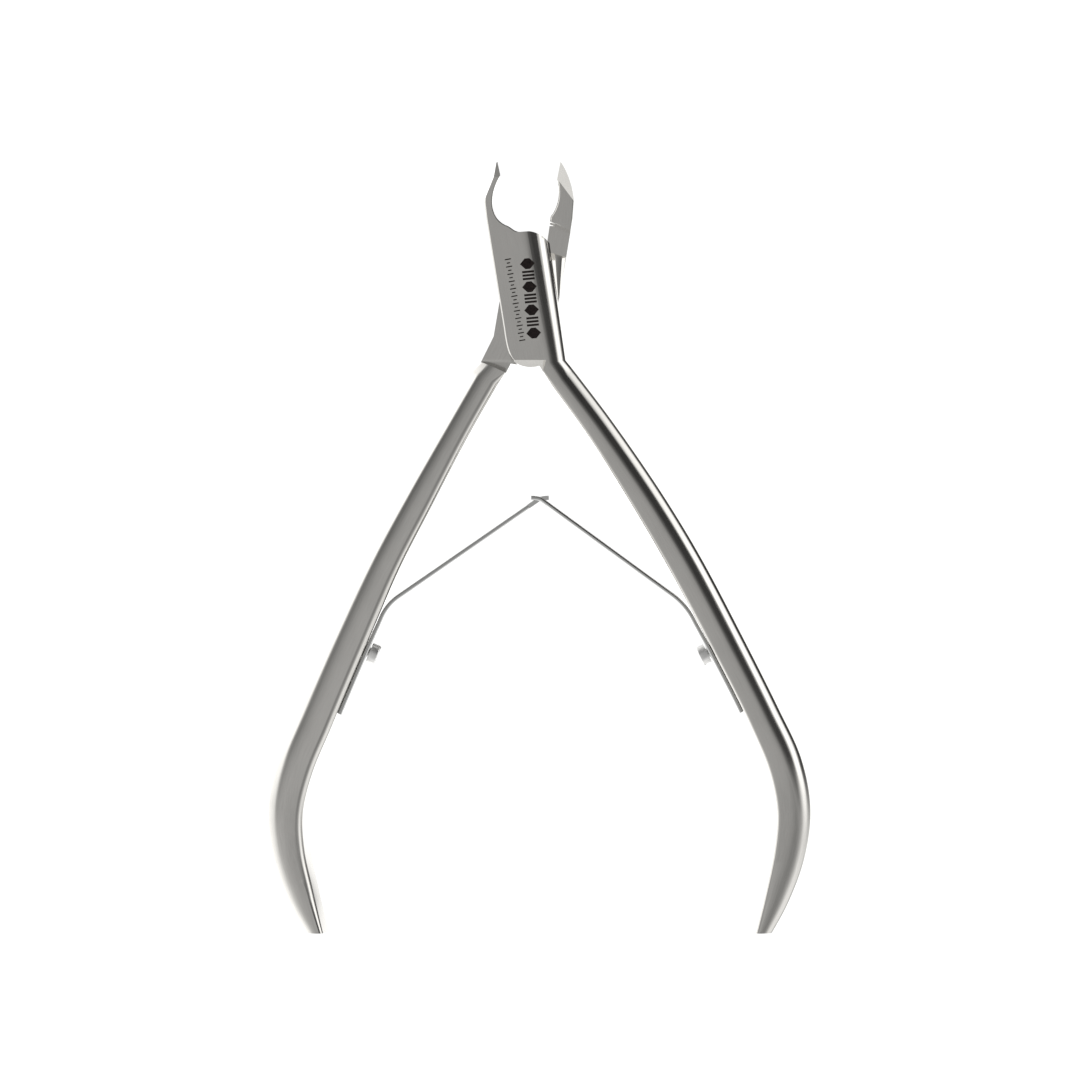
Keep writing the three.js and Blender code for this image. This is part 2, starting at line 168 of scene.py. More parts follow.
def revolve(name, profile, sides=72):
    """Turns a profile of (radius, height) round Z. Its ends lie on the axis."""
    turns = [2 * math.pi * i / sides for i in range(sides)]
    inner = profile[1:-1]
    vertices = [(0, 0, profile[0][1])]
    for r, z in inner:
        vertices += [(r * math.cos(t), r * math.sin(t), z) for t in turns]
    vertices.append((0, 0, profile[-1][1]))
    faces = []
    for j in range(sides):
        k = (j + 1) % sides
        faces.append((0, 1 + k, 1 + j))
        for i in range(len(inner) - 1):
            a = 1 + i * sides
            faces.append((a + j, a + k, a + sides + k, a + sides + j))
        top = 1 + (len(inner) - 1) * sides
        faces.append((top + j, top + k, len(vertices) - 1))
    return new_object(name, vertices, faces)


def combine(target, operation, tools):
    """Joins or cuts target with each tool. The tools are used up."""
    for tool in tools:
        step = target.modifiers.new("step", "BOOLEAN")
        step.operation = operation
        step.solver = "MANIFOLD"
        step.object = tool
    bpy.context.view_layer.update()
    graph = bpy.context.evaluated_depsgraph_get()
    mesh = bpy.data.meshes.new_from_object(target.evaluated_get(graph))
    target.modifiers.clear()
    target.data = mesh
    for tool in tools:
        bpy.data.objects.remove(tool)
    return target


def quad_bezier(a, b, c, steps=10):
    t = np.linspace(0, 1, steps + 1)[1:, None]
    a, b, c = map(np.array, (a, b, c))
    return ((1 - t) ** 2 * a + 2 * t * (1 - t) * b + t ** 2 * c).tolist()


def cubic_bezier(a, b, c, d, steps=16):
    t = np.linspace(0, 1, steps + 1)[1:, None]
    a, b, c, d = map(np.array, (a, b, c, d))
    return ((1 - t) ** 3 * a + 3 * t * (1 - t) ** 2 * b + 3 * t ** 2 * (1 - t) * c
            + t ** 3 * d).tolist()


def outline(*parts):
    """An outline from parts: a point, or the control points that follow the last one."""
    points = [list(parts[0])]
    for part in parts[1:]:
        if not isinstance(part[0], (tuple, list)):
            points.append(list(part))
        elif len(part) == 2:
            points += quad_bezier(points[-1], *part)
        else:
            points += cubic_bezier(points[-1], *part)
    return points


# ---- Lever bars ----

def smooth_share(value, start, end):
    share = min(max((value - start) / (end - start), 0.0), 1.0)
    return share * share * (3 - 2 * share)


def thickness_at(y):
    return THICKNESS - (THICKNESS - TIP_THICKNESS) * smooth_share(y, TAPER_START_Y, HANDLE_END_Y)


def bar_section(width, thickness, reach, corner, draft):
    """Section in (across, z), centred, with the polished side at positive across."""
    half, high = width / 2, thickness / 2
    deep = min(reach, width * 0.78, (width - draft) * 0.76)
    points = []
    for i in range(ROUND_STEPS + 1):
        turn = -math.pi / 2 + math.pi * i / ROUND_STEPS
        x, z = abs(math.cos(turn)), math.sin(turn)
        points.append((half - deep + deep * x ** (2 / OUTER_POWER),
                       high * math.copysign(abs(z) ** (2 / OUTER_POWER), z)))
    top = corner - half + draft
    for cx, cz, start in ((top, high - corner, 90), (corner - half, corner - high, 180)):
        for i in range(CORNER_STEPS + 1):
            turn = math.radians(start + 90 * i / CORNER_STEPS)
            points.append((cx + corner * math.cos(turn), cz + corner * math.sin(turn)))
    return points


def ring_at(middle, across, width, reach=OUTER_REACH, corner=0.75):
    y = middle[1]
    draft = min(0.62 * smooth_share(y, -59, -79), width * 0.28)
    corner = min(corner, (width - draft) * 0.3)
    section = bar_section(width, thickness_at(y), reach, corner, draft)
    return np.array([(middle[0] + across[0] * p, y + across[1] * p, MID_Z + z) for p, z in section])


def catmull_rom(knots, steps):
    """Centripetal curve through (x, y, width) knots: points and directions."""
    p = np.array(knots, float)
    p = np.vstack([2 * p[0] - p[1], p, 2 * p[-1] - p[-2]])
    spans = len(knots) - 1
    points = []
    for k in range(steps + 1):
        at = spans * k / steps
        i = min(int(at), spans - 1)
        w = at - i
        a, b, c, d = p[i:i + 4]
        t0, t1, t2 = (max(np.sum((v - u) ** 2) ** 0.25, 1e-4) for u, v in ((a, b), (b, c), (c, d)))
        m1 = ((b - a) / t0 - (c - a) / (t0 + t1) + (c - b) / t1) * t1
        m2 = ((c - b) / t1 - (d - b) / (t1 + t2) + (d - c) / t2) * t1
        c2 = -3 * b + 3 * c - 2 * m1 - m2
        c3 = 2 * b - 2 * c + m1 + m2
        points.append(b + m1 * w + c2 * w ** 2 + c3 * w ** 3)
    return np.array(points)


def handle_stations(knots, side):
    points = catmull_rom(knots, HANDLE_STEPS)
    along = np.gradient(points[:, :2], axis=0)
    along /= np.linalg.norm(along, axis=1)[:, None]
    across = np.stack([-along[:, 1], along[:, 0]], 1) * side
    return [(points[i, :2], across[i], points[i, 2]) for i in range(len(points))]


def inner_point_at(stations, y):
    edge = np.array([m - a * w / 2 for m, a, w in stations])
    i = int(np.argmax(edge[:, 1] < y))
    up = edge[i - 1] - edge[i]
    return edge[i] + up * (y - edge[i][1]) / up[1]


def screw_seat(stations, side):
    """The point where the leaf is screwed on, and the directions up the handle and off it."""
    above = inner_point_at(stations, SCREW_Y + SEAT_SPAN / 2)
    below = inner_point_at(stations, SCREW_Y - SEAT_SPAN / 2)
    up = above - below
    up /= np.linalg.norm(up)
    inward = np.array([-up[1] * side, up[0] * side])
    return inner_point_at(stations, SCREW_Y), up, inward


front_handle = handle_stations([
    (4.92, -10.55, 4.0), (10.22, -17.73, 4.22), (16.9, -27.85, 4.73), (22.28, -36.86, 4.93),
    (28.37, -48.32, 4.87), (33.61, -58.8, 4.89), (36.47, -65.57, 5.3), (37.55, -72.0, 5.5),
    (36.88, -78.2, 5.3), (35.06, -84.59, 4.33), (32.88, -90.2, 2.75), (31.2, -94.4, 1.6),
], 1)
rear_handle = handle_stations([
    (-6.35, -10.5, 4.3), (-10.5, -17.74, 4.35), (-16.01, -27.84, 4.8), (-20.77, -36.87, 5.0),
    (-26.0, -48.4, 5.35), (-30.5, -58.9, 5.5), (-33.2, -65.6, 5.65), (-34.5, -72.0, 5.7),
    (-33.95, -78.2, 5.35), (-32.1, -84.6, 4.45), (-29.9, -90.2, 2.7), (-28.2, -94.4, 1.6),
], -1)
# Beside the plate: middle, direction across, width and reach of the polished side.
front_top = [((-0.331, 10.667), (0.991, 0.133), 6.0, 4.2),
             ((3.394, -8.346), (0.979, 0.205), 3.943, 3.1)]
rear_top = [((0.331, 9.467), (-0.991, 0.133), 6.0, 4.5),
            ((-3.05, -4.9), (-0.981, 0.195), 4.1, 3.1),
            ((-5.1, -8.95), (-0.914, 0.406), 3.9, 2.9)]

front_plan = outline(
    (-4.51, 20.46),
    ((-5.6, 19.0), (-6.33, 17.0), (-6.33, 14.4)),
    (-6.07, 12.1),
    (-3.54, -3.6),
    ((-3.2, -6.2), (-2.8, -7.9), (-1.6, -8.55)),
    ((-0.5, -9.15), (1.3, -9.1), (2.4, -8.4)),
    (-1.25, 9.7),
    (-1.3, 10.2),
    ((-2.3, 10.3), (-2.4, 10.85), (-3.3, 11.15)),
    ((-5.7, 12.2), (-5.7, 15.6), (-4.06, 18.24)),
)
front_shoulder = outline(
    (-5, 14),
    (-5, 10.1),
    (-1.3, 10.2),
    (0, 10.3),
    ((1.5, 10.2), (2.9, 8.8)),
    (5, 8.8),
    (5, 14),
)
rear_plan = outline(
    (4.5, 20.46),
    (4.01, 17.74),
    ((4.35, 16.4), (4.2, 15.0)),
    ((3.95, 13.4), (3.1, 12.4)),
    (2.6, 9.0),
    (2.2, 9.0),
    (-1.4, -5.2),
    (-2.9, -8.3),
    ((0, -9.0), (2.0, -8.1)),
    ((2.9, -7.6), (3.2, -6.2), (3.54, -3.6)),
    (5.3, 6.7),
    (6.2, 12.1),
    (6.39, 14.57),
    ((6.2, 17.0), (5.5, 19.0), (4.5, 20.46)),
)[:-1]


# ---- Cuts that both levers share: side is 1 for the front lever and -1 for the rear one ----

def mirrored(side, points):
    return [(side * x, y) for x, y in points]


def lap_cut(side):
    region = mirrored(side, [(14, 6.83), (14, -4.97), (6.86, -8.21), (-6, -13.92), (-16, -13.92),
                             (-16, 5.97), (-6.14, 10.3), (-2.57, 11.87), (2, 13.87)])
    if side > 0:
        return prism("lap", region, -1, MID_Z + LAP_CLEARANCE)
    return prism("lap", region, MID_Z - LAP_CLEARANCE, THICKNESS + 1)


def relief_cut(side):
    region = mirrored(side, [(8.05, FOLD_Y), (2.6, -10.1), (2.6, FOLD_Y)])
    falling = beyond((0, FOLD_Y, MID_Z + side * LAP_CLEARANCE), (0, -RELIEF_SLOPE, -side))
    return combine(prism("relief", region, 0.5, THICKNESS - 0.5), "INTERSECT", [falling])


def flipped(side, points):
    """Points of the rear lever, or their places on the front lever."""
    return [(x, y, z) if side < 0 else (-x, y, THICKNESS - z) for x, y, z in points]


def neck_cut(side):
    """Below its step the jaw's neck falls away: a narrow facet, then a slope that steepens."""
    lap = MID_Z - LAP_CLEARANCE
    over = lap + 0.4
    profile = ((0, 0), (0.2, 0.193), (0.24, 0.203), (0.3, 0.208),
               (0.56, 0.218), (0.63, 0.24), (0.76, 0.33), (1, 0.57))
    rings = []
    for crest_x, crest_y, edge_x, fall in ((3.15, 7.47, 5.7, 0.305), (4.2, 0.2, 4.34, 0)):
        width = edge_x - crest_x
        ring = [(edge_x + 2, over), (crest_x, over)]
        ring += [(crest_x + width * across, lap - width * drop) for across, drop in profile]
        ring.append((edge_x + 2, ring[-1][1]))
        points = [(x, crest_y - fall * (x - crest_x), z) for x, z in ring]
        rings.append(np.array(flipped(side, points)))
    return loft("slope", rings)


def plate_bevel(side):
    region = mirrored(side, [(-4, -7.5), (-4, -10), (1.9, -10), (2.55, -7.5)])
    sloping = beyond((0, -8.0, MID_Z + side * MID_Z), (0, -1, side))
    return combine(prism("crescent", region, -1, THICKNESS + 1), "INTERSECT", [sloping])


def shared_cuts(side):
    return [lap_cut(side), relief_cut(side), neck_cut(side), plate_bevel(side)]


def scored(start, end, width, depth):
    """A V-shaped groove across the front face."""
    along = np.array(end) - np.array(start)
    across = np.array([-along[1], along[0]]) / np.linalg.norm(along) * width / 2
    rings = []
    for p in (np.array(start), np.array(end)):
        rings.append(np.array([(*(p + across), THICKNESS + 0.01), (*(p - across), THICKNESS + 0.01),
                               (*p, THICKNESS - depth)]))
    return loft("score", rings)


def screw_bore(seat):
    point, _, inward = seat
    start = point + inward
    return cylinder(SCREW_BORE_R, (*start, MID_Z), (*-inward, 0), SCREW_BORE_DEPTH + 1, 32)


def inset(points, by):
    """The outline moved inwards, with its corners mitred."""
    p = np.array(points)
    edge = np.roll(p, -1, axis=0) - p
    edge /= np.linalg.norm(edge, axis=1)[:, None]
    area = np.sum(p[:, 0] * np.roll(p[:, 1], -1) - p[:, 1] * np.roll(p[:, 0], -1))
    normal = np.stack([-edge[:, 1], edge[:, 0]], 1) * np.sign(area)
    before = np.roll(normal, 1, axis=0)
    share = 1 + np.sum(before * normal, axis=1)
    return p + (before + normal) / np.maximum(share, 0.35)[:, None] * by


def chamfered(name, points, z0, z1, by):
    """A prism with broken edges: shallow where they face +X, even elsewhere."""
    small = inset(points, by)
    out = np.array(points) - small
    fall = by * np.where(out[:, 0] > 0.3 * by, 0.5, 1.0)
    level = np.zeros(len(points))
    full = np.array(points)
    layers = [(small, level + z0), (full, z0 + fall), (full, z1 - fall), (small, level + z1)]
    return loft(name, [np.column_stack([ring, z]) for ring, z in layers])


def make_lever(name, top, handle, plan, corner, trims, cuts):
    rings = [ring_at(*station, corner=PLATE_CORNER) for station in top]
    rings += [ring_at(*station, corner=corner) for station in handle]
    bar = loft(name, rings)
    if trims:
        combine(bar, "DIFFERENCE", trims)
    combine(bar, "UNION", [chamfered("plan", plan, 0, THICKNESS, PLATE_CHAMFER)])
    return combine(bar, "DIFFERENCE", cuts)


front_seat = screw_seat(front_handle, 1)
rear_seat = screw_seat(rear_handle, -1)
front_tip = (-4.51, 20.46, JAW_TIP_Z)
rear_tip = (4.5, 20.46, JAW_TIP_Z)


def below_handle_end():
    return beyond((0, HANDLE_END_Y, 0), (0, -1, 0))


front_lever = make_lever("front_lever_steel", front_top, front_handle, front_plan, 0.5, [
    prism("shoulder", front_shoulder, -1, THICKNESS + 1),
], [
    *shared_cuts(1),
    side_of_plane(1, (-5.0, 18.0, THICKNESS), (-6.2, 15.04, THICKNESS), (-4.64, 20.46, JAW_TIP_Z)),
    side_of_plane(1, (-5.0, 18.0, THICKNESS), (-4.06, 18.24, 5.75), front_tip),
    cylinder(PIVOT_BORE_R, (0, 0, -1), (0, 0, 1), 6.3),
    screw_bore(front_seat),
    below_handle_end(),
])
rear_lever = make_lever("rear_lever_steel", rear_top, rear_handle, rear_plan, 1.1, [], [
    *shared_cuts(-1),
    side_of_plane(1, (4.01, 17.74, THICKNESS), (6.39, 14.57, THICKNESS), rear_tip),
    prism("notch", [(2.0, 11.68), (3.0, 11.5), (3.75, 11.26), (2.0, 11.36)], -1, THICKNESS + 1),
    scored((3.7, 11.33), (6.6, 9.8), 0.3, 0.16),
    cylinder(PIVOT_BORE_R, (0, 0, -1), (0, 0, 1), 7),
    cylinder(RIVET_SINK_R, (0, 0, -1), (0, 0, 1), 1 + RIVET_SINK_DEPTH),
    screw_bore(rear_seat),
    below_handle_end(),
])


# ---- Finishing: edges, shading, grain, metres ----

def finish_piece(obj, bevel=0.0, segments=2, angle=32):
    """Breaks sharp edges, shades flats flat and roundings smooth, and turns the piece into metres."""
    shape = bmesh.new()
    shape.from_mesh(obj.data)
    bmesh.ops.remove_doubles(shape, verts=shape.verts, dist=0.004)
    bmesh.ops.dissolve_degenerate(shape, edges=shape.edges, dist=0.004)
    shape.to_mesh(obj.data)
    shape.free()
    if bevel:
        edge = obj.modifiers.new("edge", "BEVEL")
        edge.width = bevel
        edge.segments = segments
        edge.limit_method = "ANGLE"
        edge.angle_limit = math.radians(angle)
        edge.use_clamp_overlap = True
        edge.loop_slide = False
        bpy.context.view_layer.update()
        graph = bpy.context.evaluated_depsgraph_get()
        mesh = bpy.data.meshes.new_from_object(obj.evaluated_get(graph))
        obj.modifiers.clear()
        obj.data = mesh
    obj.data.transform(Matrix.Scale(MM, 4))
    obj.data.shade_smooth()
    obj.data.set_sharp_from_angle(angle=math.radians(30))
    normals = obj.modifiers.new("normals", "WEIGHTED_NORMAL")
    normals.keep_sharp = True
    normals.weight = 60
    return obj


def store_grain(obj, path):
    """Stores each point's distance along a path and across it, for grain that follows the metal."""
    path = np.array(path, float)
    steps = np.diff(path, axis=0)
    lengths = np.linalg.norm(steps, axis=1)
    units = steps / lengths[:, None]
    starts = np.concatenate([[0], np.cumsum(lengths)[:-1]])
    co = np.array([v.co for v in obj.data.vertices]) / MM
    away = co[:, None, :2] - path[None, :-1]
    share = np.clip(np.sum(away * units, 2), 0, lengths)
    gap = np.linalg.norm(away - share[..., None] * units, axis=2)
    k = np.argmin(gap, axis=1)
    rows = np.arange(len(co))
    off = away[rows, k]
    u = units[k]
    sideways = u[:, 0] * off[:, 1] - u[:, 1] * off[:, 0]
    grain = np.stack([starts[k] + np.sum(off * u, 1), sideways, co[:, 2]], 1)
    attribute = obj.data.attributes.new("grain", "FLOAT_VECTOR", "POINT")
    attribute.data.foreach_set("vector", grain.astype(np.float32).ravel())


def bar_path(tip, top, handle):
    return [tip] + [station[0] for station in top] + [station[0] for station in handle[::4]]


for lever, tip, top, handle in ((front_lever, (-1.2, 24.0), front_top, front_handle),
                                (rear_lever, (1.2, 24.0), rear_top, rear_handle)):
    finish_piece(lever, EDGE_BEVEL)
    store_grain(lever, bar_path(tip, top, handle))


# ---- Leaf springs ----

def cross2(a, b):
    return a[0] * b[1] - a[1] * b[0]


def leaf_path(stations, seat_data, blade_angle, turn_sign, bend_radius):
    """Middle line of one leaf in plan: foot, bend, blade and curled tip."""
    point, up, inward = seat_data
    blade = np.array([math.cos(blade_angle), math.sin(blade_angle)])
    seat = point + inward * (LEAF_STAND_OFF + LEAF_T / 2)
    corner = seat + up * cross2(CROSSING - seat, blade) / cross2(up, blade)
    bend = math.acos(float(np.clip(up @ blade, -1, 1)))
    start = corner - up * bend_radius * math.tan(bend / 2)
    centre = start + inward * bend_radius
    arc = []
    for turn in np.linspace(0, bend * turn_sign, 33):
        c, s = math.cos(turn), math.sin(turn)
        d = start - centre
        arc.append(centre + np.array([c * d[0] - s * d[1], s * d[0] + c * d[1]]))
    edge = np.array([m - a * w / 2 for m, a, w in stations])[::-1] - point
    reach = float((start - seat) @ up)
    foot = []
    for s in np.linspace(-FOOT_BELOW_SCREW, reach, 41)[:-1]:
        close = FOOT_STAND_OFF + float(np.interp(s, edge @ up, edge @ inward))
        free = smooth_share(s, 0, reach)
        foot.append(point + up * s + inward * (close + (LEAF_STAND_OFF - close) * free + LEAF_T / 2))
    way = math.copysign(1, blade[0])
    tip_start = CROSSING - blade * 0.2
    rise, tip_end = CROSSING + (way * 0.45, 0.1), CROSSING + (way * 1.25, 0.1)
    curl = [tip_start.tolist()] + quad_bezier(tip_start, rise, tip_end, 12)
    path = foot + arc
    path += [arc[-1] + (tip_start - arc[-1]) * t for t in np.linspace(0, 1, 80)[1:-1]]
    path += [np.array(p) for p in curl]
    return np.array(path), arc[0], arc[-1], blade


def leaf_section():
    """Rolled strip: (across, z) with rounded edges."""
    half, radius = LEAF_T / 2, LEAF_T * 0.47
    points = []
    side, high, low = half - radius, LEAF_HIGH_Z - radius, LEAF_LOW_Z + radius
    for cx, cz, start in ((side, high, 0), (-side, high, 90), (-side, low, 180), (side, low, 270)):
        for i in range(6):
            turn = math.radians(start + 90 * i / 5)
            points.append((cx + radius * math.cos(turn), cz + radius * math.sin(turn)))
    return points


def slab(centre, along, length, wide, z0, z1, rounded):
    """A cutter for the leaf's tip: a bar along the blade, with a half-round near end."""
    across = np.array([-along[1], along[0]])
    half = (z1 - z0) / 2
    middle = (z0 + z1) / 2
    shape = [(length, -half), (length, half)]
    if rounded:
        shape += [(-half * math.sin(t), half * math.cos(t)) for t in np.linspace(0, math.pi, 15)]
    else:
        shape += [(0, half), (0, -half)]
    rings = []
    for w in (-wide, wide):
        rings.append(np.array([(*(centre + along * s + across * w), middle + z) for s, z in shape]))
    return loft("slab", rings)


def make_leaf(name, stations, seat_data, blade_angle, turn_sign, bend_radius, fork):
    path, bend_start, bend_end, blade = leaf_path(
        stations, seat_data, blade_angle, turn_sign, bend_radius)
    along = np.gradient(path, axis=0)
    along /= np.linalg.norm(along, axis=1)[:, None]
    across = np.stack([-along[:, 1], along[:, 0]], 1)
    section = leaf_section()
    rings = [np.array([(*(p + a * s), z) for s, z in section]) for p, a in zip(path, across)]
    leaf = loft(name, rings)
    point, up, inward = seat_data
    cuts = [cylinder(SCREW_BORE_R, (*(point - inward), MID_Z), (*inward, 0), 4, 40)]
    near = CROSSING - blade * TIP_ZONE
    if fork:
        slot_half = (FORK_SLOT_Z[1] - FORK_SLOT_Z[0]) / 2
        cuts.append(slab(near + blade * slot_half, blade, 6, 2, *FORK_SLOT_Z, True))
    else:
        cuts.append(slab(near, blade, 6, 2, TONGUE_Z[1], LEAF_HIGH_Z + 1, False))
        cuts.append(slab(near, blade, 6, 2, LEAF_LOW_Z - 1, TONGUE_Z[0], False))
    combine(leaf, "DIFFERENCE", cuts)
    finish_piece(leaf, 0.03, 1, 50)
    store_grain(leaf, path[::3])
    return leaf, bend_start, bend_end


left_leaf, left_start, left_end = make_leaf(
    "left_leaf_spring", rear_handle, rear_seat, math.radians(34.7), -1, LEFT_BEND_R, False)
right_leaf, right_start, right_end = make_leaf(
    "right_leaf_spring", front_handle, front_seat, math.radians(143.9), 1, RIGHT_BEND_R, True)


# ---- Screws and rivet ----

def arc_points(cr, cz, radius, start, end, steps):
    return [(cr + radius * math.cos(math.radians(t)), cz + radius * math.sin(math.radians(t)))
            for t in np.linspace(start, end, steps)]


def make_screw(name, seat_data, slot_turn):
    """Slotted cheese-head screw with a short threaded shank."""
    thread = []
    pitch, turns = 0.35, 7
    for i in range(turns):
        z = -SCREW_SHANK_L + 0.35 + i * pitch
        thread += [(SCREW_SHANK_R - 0.1, z), (SCREW_SHANK_R, z + pitch / 2)]
    profile = [(0, -SCREW_SHANK_L), (SCREW_SHANK_R - 0.25, -SCREW_SHANK_L), *thread,
               (SCREW_SHANK_R - 0.1, -0.12), (SCREW_SHANK_R - 0.1, 0), (SCREW_HEAD_R - 0.08, 0),
               *arc_points(SCREW_HEAD_R - 0.08, 0.08, 0.08, -70, 0, 4),
               *arc_points(SCREW_HEAD_R - 0.25, SCREW_HEAD_H - 0.25, 0.25, 0, 84, 7),
               (0.7, SCREW_HEAD_H - 0.005), (0, SCREW_HEAD_H)]
    screw = revolve(name, profile, 64)
    slot = loft("slot", [np.array([(-3, y, SCREW_HEAD_H - 0.5), (3, y, SCREW_HEAD_H - 0.5),
                                   (3, y, SCREW_HEAD_H + 1), (-3, y, SCREW_HEAD_H + 1)])
                         for y in (-0.19, 0.19)])
    combine(screw, "DIFFERENCE", [slot])
    point, up, inward = seat_data
    seat = point + inward * (LEAF_STAND_OFF + LEAF_T + SEAT_GAP)
    level = math.atan2(inward[0], -inward[1])
    turned = Matrix.Rotation(level + math.radians(slot_turn), 4, "Z")
    screw.data.transform(Matrix.Translation((*seat, MID_Z)) @ rotation_to((*inward, 0)) @ turned)
    finish_piece(screw, 0.03, 2, 40)
    return screw


left_screw = make_screw("left_screw", rear_seat, 24)
right_screw = make_screw("right_screw", front_seat, 10)

rivet = revolve("rivet", [
    (0, 0), (RIVET_R, 0.01), (RIVET_HEAD_R - 0.12, 0.04), (RIVET_HEAD_R - 0.03, 0.1),
    (RIVET_HEAD_R, 0.2), (RIVET_HEAD_R, RIVET_HEAD_H), (RIVET_R, RIVET_HEAD_H),
    (RIVET_R, RIVET_TOP_Z - 0.1), (RIVET_R - 0.1, RIVET_TOP_Z), (0, RIVET_TOP_Z),
], 96)
finish_piece(rivet, 0.0)


# ---- Generic laser mark on the plate: a row of lozenges with a fine scale beside it ----

LOZENGE = ((-0.5, 0.16), (-0.5, -0.16), (0, -0.5), (0.5, -0.16), (0.5, 0.16), (0, 0.5))
OBLONG = ((-0.5, -0.5), (0.5, -0.5), (0.5, 0.5), (-0.5, 0.5))
MARK_DEPTH = 0.012
MARK_SUNK = 0.01


def figure(shape, centre, along, length, width):
    """A flat shape of unit size, laid along a line."""
    across = np.array([-along[1], along[0]])
    return [centre + along * s * length + across * t * width for s, t in shape]


def line_along(top, low):
    """A line's start, direction and length."""
    top, low = np.array(top), np.array(low)
    length = np.linalg.norm(low - top)
    return top, (low - top) / length, length


def make_mark():
    figures = []
    top, along, length = line_along((-0.3, 6.5), (0.75, -5.0))
    count = 7
    step = length / count
    for i in range(count):
        centre = top + along * step * (i + 0.5)
        if i % 2 == 0:
            figures.append(figure(LOZENGE, centre, along, step * 0.92, 2.1))
        else:
            figures += [figure(OBLONG, centre + along * k * 0.5, along, 0.3, 1.7) for k in (-1, 0, 1)]
    top, along, length = line_along((-3.0, 6.3), (-0.95, -5.2))
    ticks = 23
    for i in range(ticks):
        centre = top + along * length * i / (ticks - 1)
        figures.append(figure(OBLONG, centre, along, 0.16, 0.88 if i % 2 == 0 else 0.48))
    vertices, faces = [], []
    for points in figures:
        base, n = len(vertices), len(points)
        for z in (THICKNESS - MARK_SUNK, THICKNESS + MARK_DEPTH):
            vertices.extend((p[0], p[1], z) for p in points)
        faces.append(tuple(range(base, base + n)))
        faces.append(tuple(range(base + n, base + 2 * n)))
        for i in range(n):
            j = (i + 1) % n
            faces.append((base + i, base + j, base + n + j, base + n + i))
    return new_object("plate_mark", vertices, faces)


mark = make_mark()
finish_piece(mark, 0.0)


# ---- Materials ----

def node(tree, kind, links=(), **settings):
    """Adds a node. links are (input, output socket or value)."""
    made = tree.nodes.new(kind)
    for key, value in settings.items():
        setattr(made, key, value)
    for socket, source in links:
        if isinstance(source, bpy.types.NodeSocket):
            tree.links.new(source, made.inputs[socket])
        else:
            made.inputs[socket].default_value = source
    return made


def maths(tree, operation, *values):
    return node(tree, "ShaderNodeMath", list(enumerate(values)), operation=operation).outputs[0]


def ramp(tree, source, stops):
    made = node(tree, "ShaderNodeValToRGB", [(0, source)])
    elements = made.color_ramp.elements
    while len(elements) > 1:
        elements.remove(elements[-1])
    for i, (position, value) in enumerate(stops):
        element = elements[0] if i == 0 else elements.new(position)
        element.position = position
        colour = value if isinstance(value, tuple) else (value, value, value)
        element.color = (*colour, 1)
    return made.outputs[0]


def noise_at(tree, place, scale, detail, rotation=(0.0, 0.0, 0.0), roughness=0.5):
    """Noise stretched along the metal: scale holds the cells per unit along, across and up."""
    mapped = node(tree, "ShaderNodeMapping",
                  [("Vector", place), ("Scale", scale), ("Rotation", rotation)])
    made = node(tree, "ShaderNodeTexNoise", [
        ("Vector", mapped.outputs[0]), ("Scale", 1.0), ("Detail", detail), ("Roughness", roughness)])
    return made.outputs["Fac"]


def steel(name, colour, roughness, along=0.3, fine=9.0, contrast=0.05, bump=0.02, grain=True):
    """Satin steel: fine grain along the metal, faint cloudiness and a few hair scratches."""
    material = bpy.data.materials.new(name)
    material.use_nodes = True
    tree = material.node_tree
    shader = tree.nodes["Principled BSDF"]
    shader.inputs["Metallic"].default_value = 1.0
    if grain:
        place = node(tree, "ShaderNodeAttribute", attribute_name="grain").outputs["Vector"]
        unit = 1.0
    else:
        place = node(tree, "ShaderNodeTexCoord").outputs["Object"]
        unit = 1 / MM
    streak = noise_at(tree, place, (along * unit, fine * unit, fine * unit), 5.0, roughness=0.65)
    cloud = noise_at(tree, place, (0.22 * unit, 0.35 * unit, 0.35 * unit), 3.0)
    lines = noise_at(tree, place, (0.5 * unit, 3.0 * unit, 3.0 * unit), 1.0, (0.0, 0.0, 0.35))
    scratch = ramp(tree, lines, [(0.0, 0.0), (0.494, 0.0), (0.5, 1.0), (0.506, 0.0), (1.0, 0.0)])
    dark = tuple(c * (1 - contrast) for c in colour)
    light = tuple(min(1, c * (1 + contrast)) for c in colour)
    tone = ramp(tree, streak, [(0.3, dark), (0.7, light)])
    haze = ramp(tree, cloud, [(0.3, 0.96), (0.7, 1.0)])
    mixed = node(tree, "ShaderNodeMix", data_type="RGBA", blend_type="MULTIPLY")
    mixed.inputs["Factor"].default_value = 1.0
    tree.links.new(tone, mixed.inputs["A"])
    tree.links.new(haze, mixed.inputs["B"])
    tree.links.new(mixed.outputs["Result"], shader.inputs["Base Color"])
    rough = node(tree, "ShaderNodeMapRange", [
        ("Value", streak), ("From Min", 0.3), ("From Max", 0.7),
        ("To Min", roughness * 0.85), ("To Max", roughness * 1.2)])
    tree.links.new(rough.outputs[0], shader.inputs["Roughness"])
    height = maths(tree, "SUBTRACT", streak, scratch)
    lift = node(tree, "ShaderNodeBump", [
        ("Height", height), ("Strength", bump), ("Distance", 0.00002)])
    tree.links.new(lift.outputs[0], shader.inputs["Normal"])
    return material


satin = steel("satin_steel", (0.638, 0.624, 0.595), 0.13)
spring = steel("spring_steel", (0.62, 0.62, 0.61), 0.13, along=0.6, fine=14.0)
screw_metal = steel("screw_steel", (0.9, 0.895, 0.88), 0.36, along=2.0, fine=10.0, grain=False)
rivet_metal = steel("rivet_steel", (0.62, 0.615, 0.6), 0.2, along=6.0, fine=6.0, grain=False)


